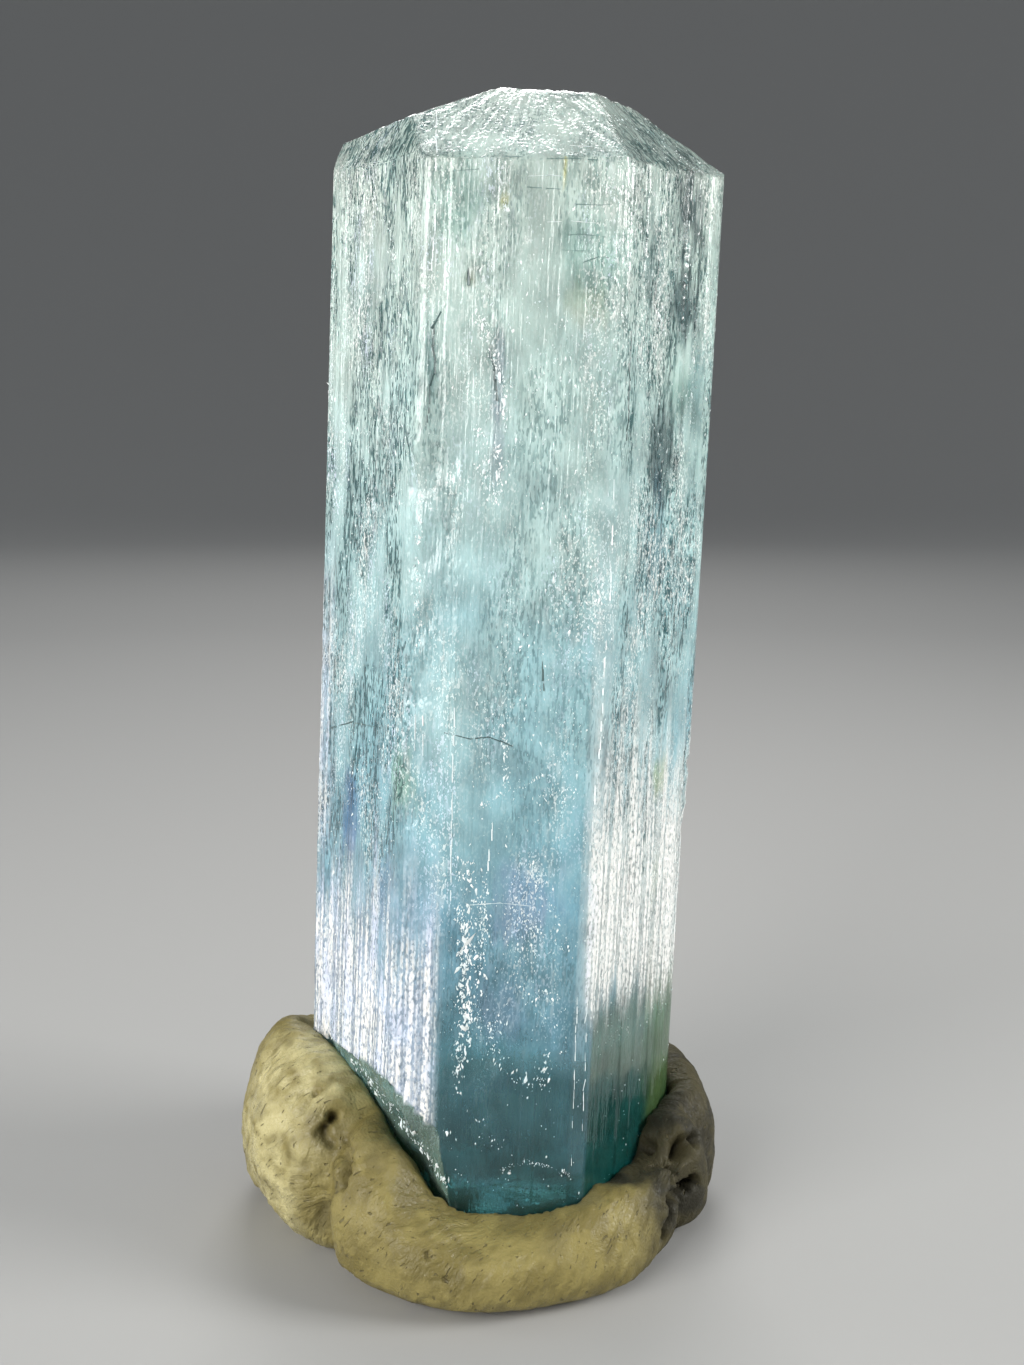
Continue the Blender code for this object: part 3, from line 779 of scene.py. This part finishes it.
lines = {  # picture points, half width in mm, and which piece the line belongs to
    "frontCrack": (((435, 322), (432, 345), (436, 362), (430, 385), (427, 422)), 0.038, "dark"),
    "frontCrackTop": (((441, 312), (436, 320), (432, 328)), 0.038, "dark"),
    "levelBreak": (((445, 733), (470, 739), (488, 737), (500, 741), (511, 746)), 0.022, "dark"),
    "leftLevelBreak": (((330, 728), (352, 722), (375, 727)), 0.022, "dark"),
    "shortCrack": (((543, 660), (543, 690)), 0.04, "dark"),
    "sparkleCore": (((489, 345), (494, 370), (497, 400)), 0.04, "dark"),
    "rightHair": (((632, 330), (629, 390), (627, 440)), 0.025, "dark"),
    "olive": (((467, 268), (469, 284)), 0.05, "dark"),
    "stepLeft": (((397, 112), (398, 132)), 0.04, "dark"),
    "stepLeftHigh": (((432, 106), (433, 122)), 0.05, "dark"),
    # upperEdge and lowerEdge are painted highlights along the front left edge
    "upperEdge": (((437, 112), (436, 200), (431, 280)), 0.022, "pale"),
    "lowerEdge": (((455, 690), (452, 800), (450, 900)), 0.025, "pale"),
    "lowerEdgeTwin": (((493, 820), (487, 880)), 0.025, "pale"),
    "leftThread": (((415, 715), (415, 750)), 0.03, "pale"),
    "leftThreadTwin": (((423, 715), (423, 755)), 0.03, "pale"),
    "rightThread": (((606, 640), (600, 740), (590, 850)), 0.03, "pale"),
    "rightThreadTwin": (((614, 480), (610, 600)), 0.03, "pale"),
    "topLevel": (((470, 158), (495, 156), (522, 157)), 0.02, "faint"),
    "topLevelTwin": (((540, 159), (570, 158), (598, 160)), 0.02, "faint"),
    "topLevelLow": (((528, 187), (560, 189)), 0.015, "faint"),
    "topLevelLeft": (((452, 171), (478, 169), (492, 170)), 0.012, "faint"),
    "topLevelRight": (((575, 204), (600, 205), (618, 204)), 0.014, "faint"),
    "middleLevel": (((556, 236), (580, 234), (606, 237)), 0.014, "faint"),
    "middleLevelTwin": (((562, 250), (584, 251)), 0.012, "faint"),
    "middleLevelArc": (((584, 262), (598, 257), (615, 258)), 0.014, "faint"),
    "paleLevel": (((520, 146), (560, 145), (602, 147)), 0.014, "pale"),
    "paleLevelTwin": (((530, 176), (552, 175), (560, 176)), 0.012, "pale"),
    "paleLevelLow": (((548, 222), (572, 221), (596, 223)), 0.012, "pale"),
    "lowLevel": (((470, 905), (500, 903), (530, 906)), 0.012, "pale"),
    # painted highlights along the bevel's two edges
    "bevelLeft": (((578, 985), (575, 1060), (571, 1165)), 0.016, "pale"),
    "bevelRight": (((587, 985), (585, 1060), (582, 1130)), 0.014, "pale"),
}

lineKinds = {  # name of the piece, share of each line that is kept
    "dark": ("darkCracks", 1.0),
    "faint": ("levelLines", 0.85),
    "pale": ("threadsAndEdgeHighlights", 0.75),
}


def template(segments, narrow):
    bm = bmesh.new()
    bmesh.ops.create_cone(
        bm, cap_ends=True, segments=segments, radius1=1.0, radius2=narrow, depth=1.0
    )
    mesh = bpy.data.meshes.new("template")
    bm.to_mesh(mesh)
    bm.free()
    return mesh


def addCopy(bm, mesh, matrix):
    mesh.transform(matrix)
    bm.from_mesh(mesh)
    mesh.transform(matrix.inverted())


def standing(place, normal, along, wide, long, tall, turn):
    # a matrix for a small form on a surface, its long side turned a little from along
    side = normal.cross(along).normalized()
    up = side.cross(normal).normalized()
    spin = Matrix.Rotation(turn, 3, normal)
    axes = Matrix((spin @ side * wide, spin @ up * long, normal * tall)).transposed().to_4x4()
    return Matrix.Translation(place) @ axes


def fleckCrowd(place, frostGlare, clear):
    crowd = smoothStep(streak(place, 0.5, 0.2, 81.0) + 0.5 * streak(place, 1.7, 0.7, 83.0), -0.15, 0.6)
    return (0.12 + crowd) * (1.0 - 0.65 * clear) + 0.3 * frostGlare


def buildFlecks(gem):
    rng = random.Random(flecks["seed"])
    upright = uprightMatrix()
    axis = (upright.to_3x3() @ Vector((0, 0, 1))).normalized()
    inverse = upright.inverted()
    skin = bmesh.new()
    skin.from_mesh(gem.data)
    tree = BVHTree.FromBMesh(skin)
    zoneLayer = skin.verts.layers.float_color["zones"]
    faces = [f for f in skin.faces if f.normal.z > -0.1]
    weights = []
    for face in faces:
        vert = face.verts[0]
        frostGlare, clear = vert[zoneLayer][:2]
        place = inverse @ vert.co / mm
        crowd = fleckCrowd(place, frostGlare, clear)
        if place.x > crystal["rightFace"] and place.z < crystal["breakTop"]:
            crowd *= flecks["footShare"]
        weights.append(face.calc_area() * crowd)
    shape = template(4, 0.25)
    bm = bmesh.new()
    wide, long = (value * mm for value in flecks["size"])

    def lay(spot, normal, size):
        grow = size * rng.lognormvariate(-0.25, 0.5)
        turn = rng.gauss(0.0, 0.3)
        tilt = Vector((rng.gauss(0, 0.35), rng.gauss(0, 0.35), rng.gauss(0, 0.35)))
        matrix = standing(
            spot,
            (normal + tilt).normalized(),
            axis,
            wide * grow * rng.uniform(0.6, 1.3),
            long * grow * rng.uniform(0.4, 1.2),
            flecks["height"] * mm,
            turn,
        )
        addCopy(bm, shape, matrix)

    for face in rng.choices(faces, weights, k=flecks["scattered"]):
        corner = rng.choice(face.verts).co
        lay(face.calc_center_median().lerp(corner, rng.random()), face.normal, rng.uniform(0.4, 0.9))
    for path, count, spread, size in flecks["clusters"]:
        for _ in range(count):
            at = rng.random() * (len(path) - 1)
            step = min(int(at), len(path) - 2)
            u, v = Vector(path[step]).lerp(Vector(path[step + 1]), at - step)
            reach = spread * flecks["pixelsPerMm"]
            spot, normal = touched(tree, u + rng.gauss(0, 0.5 * reach), v + rng.gauss(0, 0.8 * reach))
            if spot is not None:
                lay(spot, normal, size)
    bmesh.ops.recalc_face_normals(bm, faces=bm.faces)
    piece = meshObject("etchFlecksAndGlints", bm)
    report(f"{len(piece.data.polygons)} faces in the flecks")
    skin.free()
    return piece, tree


def strand(bm, shape, tree, path, radius, whole, rng):
    # a hair-thin rod laid in the surface along a line of picture points; whole is the share of it kept
    last = None
    for (u0, v0), (u1, v1) in zip(path, path[1:]):
        steps = max(1, int(math.hypot(u1 - u0, v1 - v0) / flecks["threadStep"]))
        for i in range(steps + 1):
            share = i / steps
            wander = rng.gauss(0.0, flecks["threadWander"])
            spot, _ = touched(tree, u0 + (u1 - u0) * share + wander, v0 + (v1 - v0) * share)
            if spot is None:
                continue
            if last is not None and (spot - last).length > 1e-6 and rng.random() < whole:
                run = spot - last
                turn = run.to_track_quat("Z", "Y").to_matrix().to_4x4()
                thick = radius * mm * rng.uniform(0.5, 1.2)
                size = Matrix.Diagonal((thick, thick, run.length * flecks["threadOverlap"], 1.0))
                addCopy(bm, shape, Matrix.Translation((spot + last) / 2) @ turn @ size)
            last = spot


def buildLines(tree):
    rng = random.Random(flecks["seed"] + 1)
    shape = template(5, 1.0)
    pieces = {}
    for kind, (name, whole) in lineKinds.items():
        bm = bmesh.new()
        for path, radius, own in lines.values():
            if own == kind:
                strand(bm, shape, tree, path, radius, whole, rng)
        bmesh.ops.recalc_face_normals(bm, faces=bm.faces)
        pieces[name] = meshObject(name, bm)
    return pieces


def etchMaterial(name, light, shade, roughness):
    nodes = Nodes(name)
    place = nodes.add("TexCoord").outputs["Object"]
    blotch = nodes.add("TexNoise", {"Vector": place, "Scale": 2.0 / mm, "Detail": 2.0}).outputs["Fac"]
    nodes.link(mixed(nodes, ranged(nodes, blotch, 0.35, 0.65), shade, light), "Base Color")
    nodes.shader.inputs["Roughness"].default_value = roughness
    return nodes.material


# mineral tack

tack = {
    "voxel": 0.25,  # mm
    "softening": 9,
    "touching": (0.38, 0.85),  # mm: nearer than the first it is pressed against the crystal
    "coreRadius": 7.6,
    "coreHeight": 2.6,
    "rollRadius": 2.6,
    "ringRadius": 9.0,
    "footBlend": (0.1, 0.6),  # mm up over which the moves set in
    "pressedFrom": 1.7,  # mm up
    "slant": 0.16,  # how far the stretch marks lean as they run over the roll
    "lumps": ((0.3, 0.14), (0.8, 0.06)),  # per mm, mm
    "stretch": ((2.9, 0.9, 0.07), (6.2, 1.7, 0.034)),  # per mm along and over the roll, mm
    "rubbedHighlight": (2.8, 0.05),  # per mm, mm: bumps of the rubbed left end, which also gets a painted highlight
    "wander": 0.35,  # mm that the stretch marks stray
    "openFrom": (-136.0, -124.0),  # bearings between which a gap stays open beside the crystal
    "openTo": (-104.0, -98.0),
    "stainedAndShaded": (-56.0, -36.0, 40.0, 90.0),  # bearings where the stain and painted shade start, are full, thin and end
    # the left lobe, where the rubbed putty gets a painted highlight
    "pale": (-185.0, -165.0, -150.0, -135.0),
    "folds": (  # picture points along each, half width and depth in mm
        (((320, 1232), (326, 1208), (340, 1184)), 0.3, 0.16),
        (((340, 1184), (349, 1160), (332, 1143), (318, 1133), (334, 1119)), 0.18, 0.3),
        (((348, 1160), (352, 1150), (344, 1140)), 0.14, 0.2),
        (((668, 1164), (672, 1185), (671, 1210), (664, 1240)), 0.22, 0.5),
        (((669, 1199), (680, 1190), (694, 1182)), 0.22, 0.8),
    ),
    "holes": (  # picture point, radius and depth in mm
        ((334, 1117), 0.28, 0.5),
        ((326, 1131), 0.25, 0.4),
        ((314, 1093), 0.16, 0.3),
        ((347, 1171), 0.22, 0.35),
        ((342, 1180), 0.2, 0.3),
        ((426, 1252), 0.13, 0.25),
        ((299, 1076), 0.08, 0.15),
        ((428, 1258), 0.08, 0.25),
        ((445, 1280), 0.07, 0.2),
        ((651, 1137), 0.22, 0.45),
        ((653, 1153), 0.16, 0.35),
        ((681, 1147), 0.5, 0.9),
        ((697, 1139), 0.34, 0.6),
    ),
    "rims": (  # raised and lowered edges: picture points, half width and height in mm
        (((326, 1150), (336, 1160), (341, 1175)), 0.3, 0.16),
        (((662, 1168), (666, 1190), (665, 1215)), 0.22, 0.2),
        (((690, 1150), (678, 1168), (668, 1172)), 0.16, 0.15),
    ),
    "lowered": (  # lengths of the lip: picture points, half width and drop in mm
        (((432, 1200), (470, 1218), (520, 1222)), 1.0, 0.55),
        (((606, 1182), (628, 1166), (646, 1150)), 0.8, 0.6),
    ),
    "putty": (0.17, 0.14, 0.045),
    "puttyPale": (0.245, 0.205, 0.07),
    # the next colour is both real dirt and painted shade in the folds, holes and pores
    "puttyDirtAndShade": (0.11, 0.095, 0.045),
    # stain and painted shade of the right lobe
    "puttyStainAndShade": (0.02, 0.019, 0.012),
    # a worn colour that also serves as a painted highlight on the left lobe
    "puttyWornHighlight": (0.5, 0.45, 0.23),
    "roughness": (0.32, 0.62),
    "shine": 0.32,
    "marks": {  # as the crystal's
        "lines": ((3.6, 3.6, 1.5), 0.42, 0.66, 5.0, 2.0),
        "pores": ((6.5, 6.5, 2.6), 0.66, 0.72, 7.0, 2.0),
    },
    "grain": 9.0,  # per mm
    "bumpHeight": 0.08,  # mm
}


def evenSkin(bm, voxel, softening):
    # an even, softened quad skin over a closed shape
    thing = meshObject("skinDraft", bm)
    remesh = thing.modifiers.new("skin", "REMESH")
    remesh.mode = "VOXEL"
    remesh.voxel_size = voxel * mm
    soften = thing.modifiers.new("soften", "SMOOTH")
    soften.factor = 0.5
    soften.iterations = softening
    finer = thing.modifiers.new("finer", "SUBSURF")
    finer.levels = finer.render_levels = 1
    depsgraph = bpy.context.evaluated_depsgraph_get()
    mesh = bpy.data.meshes.new_from_object(thing.evaluated_get(depsgraph))
    bpy.data.objects.remove(thing)
    skin = bmesh.new()
    skin.from_mesh(mesh)
    bpy.data.meshes.remove(mesh)
    return skin


def alongPath(tree, path):
    # the stretches of a line of picture points, laid on a surface, as pairs of places in mm
    spots = [touched(tree, *pixel)[0] for pixel in path]
    spots = [spot / mm for spot in spots if spot is not None]
    return list(zip(spots, spots[1:]))


def howNear(place, stretches):
    nearest = 1e3
    for start, end in stretches:
        share = min(1.0, max(0.0, (place - start).dot(end - start) / (end - start).length_squared))
        nearest = min(nearest, (place - start.lerp(end, share)).length)
    return nearest


def rollPlace(place):
    # where a point lies on the roll: round the ring, and over the roll, in mm
    bearing = math.atan2(place.y, place.x)
    over = math.atan2(math.hypot(place.x, place.y) - tack["coreRadius"], place.z - tack["coreHeight"])
    bearing += tack["slant"] * over
    spot = Vector((math.cos(bearing), math.sin(bearing), 0)) * tack["ringRadius"]
    spot.z = over * tack["rollRadius"]
    return spot + tack["wander"] * noise.noise_vector(place * 0.9)


def within(bearing, start, full, thin, end):
    # 1 between two bearings, 0 outside, all in degrees
    bearing = (bearing - start) % 360.0
    return smoothStep(bearing, 0.0, full - start) * (1.0 - smoothStep(bearing, thin - start, end - start))


def puttyTone(place, hollowShade, stainAndShade, rubbedHighlight):
    # the putty's colour without its fine marks; the right lobe is darkened by stain and painted shade,
    # the folds and holes by painted shade, and the left lobe gets a painted highlight
    blotch = smoothStep(drift(place, 0.7, 0.7, 2.0) + 0.4 * drift(place, 3.1, 3.1, 4.0), -0.35, 0.35)
    colour = Vector(tack["putty"]).lerp(Vector(tack["puttyPale"]), blotch)
    # painted highlight on the rubbed left lobe
    colour = colour.lerp(Vector(tack["puttyWornHighlight"]), rubbedHighlight)
    # the right lobe: stain and painted shade
    colour = colour.lerp(Vector(tack["puttyStainAndShade"]), stainAndShade * (0.97 - 0.12 * blotch))
    # real dirt in random patches, and painted shade in the folds and holes
    soiled = smoothStep(drift(place, 0.45, 0.45, 12.0), 0.1, 0.5)
    dirtAndShade = Vector(tack["puttyDirtAndShade"]) * (1.0 - 0.7 * stainAndShade)
    return colour.lerp(dirtAndShade, max(0.55 * hollowShade, 0.35 * soiled))


def buildTack():
    bm = evenSkin(nodeMesh("mineral_tack"), tack["voxel"], tack["softening"])
    report(f"tack skin has {len(bm.faces)} faces")
    tree = BVHTree.FromBMesh(bm)
    crystalTree = nodeTree("crystal")
    folds = [(alongPath(tree, path), half, deep) for path, half, deep in tack["folds"]]
    rims = [(alongPath(tree, path), half, high) for path, half, high in tack["rims"]]
    lowered = [(alongPath(tree, path), half, drop) for path, half, drop in tack["lowered"]]
    holes = [(touched(tree, *pixel)[0] / mm, half, deep) for pixel, half, deep in tack["holes"]]
    rollLayer = bm.verts.layers.float_vector.new("roll")
    skinLayer = bm.verts.layers.float_color.new("skin")
    polishLayer = bm.verts.layers.float.new("polish")
    near, far = tack["touching"]
    moves = []
    bm.normal_update()
    for vert in bm.verts:
        place = vert.co / mm
        roll = rollPlace(place)
        vert[rollLayer] = roll
        move = Vector((0, 0, 0))
        foot = smoothStep(place.z, *tack["footBlend"])
        height = sum(rise * streak(place, scale, scale, 91.0) for scale, rise in tack["lumps"])
        for across, over, rise in tack["stretch"]:
            marks = Vector((roll.x * across, roll.y * across, roll.z * over))
            height += rise * noise.noise(marks)
        bearing = math.degrees(math.atan2(place.y, place.x)) + 6.0 * drift(place, 0.5, 0.5, 95.0)
        # stain and painted shade on the right lobe, by bearing
        stainAndShade = within(bearing, *tack["stainedAndShaded"])
        pale = within(bearing, *tack["pale"])
        scale, rise = tack["rubbedHighlight"]
        height += rise * pale * drift(place, scale, scale, 97.0)
        ragged = 0.1 * noise.noise(place * 4.0)
        # painted shade: hollowShade darkens the folds and holes below
        hollowShade = 0.0
        for stretches, half, deep in folds:
            gap = howNear(place, stretches) + ragged
            if gap < 2.5 * half:
                cut = 1.0 - smoothStep(gap, 0.2 * half, 1.6 * half)
                height -= deep * cut
                hollowShade = max(hollowShade, cut)
        for stretches, half, high in rims:
            gap = howNear(place, stretches) + ragged
            height += high * (1.0 - smoothStep(gap, 0.0, 2.0 * half))
        for centre, half, deep in holes:
            gap = (place - centre).length + ragged
            if gap < 2.0 * half:
                cut = 1.0 - smoothStep(gap, 0.4 * half, 1.3 * half)
                height -= deep * cut
                hollowShade = max(hollowShade, cut)
        # the rubbed left lobe: lightened as a painted highlight, and glossier
        rubbedHighlight = pale * smoothStep(drift(place, 1.4, 1.4, 14.0), -0.9, 0.5)
        streaked = smoothStep(drift(place, 0.5, 0.5, 16.0), -0.3, 0.3)
        vert[skinLayer] = (*puttyTone(place, hollowShade, stainAndShade, rubbedHighlight), streaked)
        vert[polishLayer] = rubbedHighlight - stainAndShade
        move += vert.normal * height * foot
        for stretches, half, drop in lowered:
            move.z -= drop * foot * (1.0 - smoothStep(howNear(place, stretches), 0.3 * half, 2.2 * half))
        spot, _, _, gap = crystalTree.find_nearest(vert.co)
        gap /= mm
        if gap < far and place.z > tack["pressedFrom"]:
            press = (gap - 0.02) * (1.0 - smoothStep(gap, near, far))
            press *= 1.0 - within(bearing, *tack["openFrom"], *tack["openTo"])
            move += (spot / mm - place).normalized() * press
        moves.append(move * mm)
    for vert, move in zip(bm.verts, moves):
        vert.co += move
        vert.co.z = max(vert.co.z, 0.0)
    thing = meshObject("mineralTack", bm)
    thing.data.shade_smooth()
    return thing


def puttyMaterial():
    nodes = Nodes("mineralTack")
    place = nodes.add("TexCoord").outputs["Object"]
    place = nodes.add("Mapping", {"Vector": place, "Scale": (1 / mm,) * 3}).outputs[0]
    roll = nodes.add("Attribute", attribute_name="roll").outputs["Vector"]
    skin = nodes.add("Attribute", attribute_name="skin")
    polish = nodes.add("Attribute", attribute_name="polish").outputs["Fac"]
    lineMarks, pores = (patches(nodes, roll, *tack["marks"][name]) for name in ("lines", "pores"))
    lineMarks = maths(nodes, "MULTIPLY", lineMarks, skin.outputs["Alpha"])
    # painted shade: the pores, and faintly the stretch marks, are darkened
    dirtAndShade = most(nodes, maths(nodes, "MULTIPLY", pores, 0.7), maths(nodes, "MULTIPLY", lineMarks, 0.14))
    nodes.link(mixed(nodes, dirtAndShade, skin.outputs["Color"], tack["puttyDirtAndShade"]), "Base Color")
    grain = nodes.add("TexNoise", {"Vector": place, "Scale": tack["grain"], "Detail": 2.0}).outputs["Fac"]
    rough = ranged(nodes, grain, 0.3, 0.7, *tack["roughness"])
    nodes.link(maths(nodes, "MULTIPLY_ADD", polish, -0.18, rough), "Roughness")
    nodes.shader.inputs["Specular IOR Level"].default_value = tack["shine"]
    relief = maths(nodes, "MULTIPLY_ADD", lineMarks, -0.5, maths(nodes, "MULTIPLY", grain, 0.6))
    relief = maths(nodes, "MULTIPLY_ADD", pores, -1.2, relief)
    bump = {"Height": relief, "Strength": 0.8, "Distance": tack["bumpHeight"] * mm}
    nodes.link(nodes.add("Bump", bump).outputs[0], "Normal")
    return nodes.material


buildStage()
gem = buildCrystal()
gem.data.materials.append(berylMaterial())
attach(gem, "root")
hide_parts("crystal")
report("crystal done")

# white etch colour, partly painted glints and edge highlights
whiteEtchAndGlints = etchMaterial("etchedWhiteAndGlints", (0.95, 0.97, 0.97), (0.7, 0.8, 0.82), 0.28)
darkEtch = etchMaterial("crackShade", (0.09, 0.15, 0.15), (0.03, 0.06, 0.06), 0.35)
faintEtch = etchMaterial("levelShade", (0.18, 0.27, 0.26), (0.1, 0.18, 0.17), 0.35)
fleckPiece, gemTree = buildFlecks(gem)
linePieces = buildLines(gemTree)
coats = {"darkCracks": darkEtch, "levelLines": faintEtch}
for piece in (fleckPiece, *linePieces.values()):
    piece.data.materials.append(coats.get(piece.name, whiteEtchAndGlints))
    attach(piece, "root")
report("flecks and cracks done")

putty = buildTack()
putty.data.materials.append(puttyMaterial())
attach(putty, "root")
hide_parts("mineral_tack")
report("tack done")
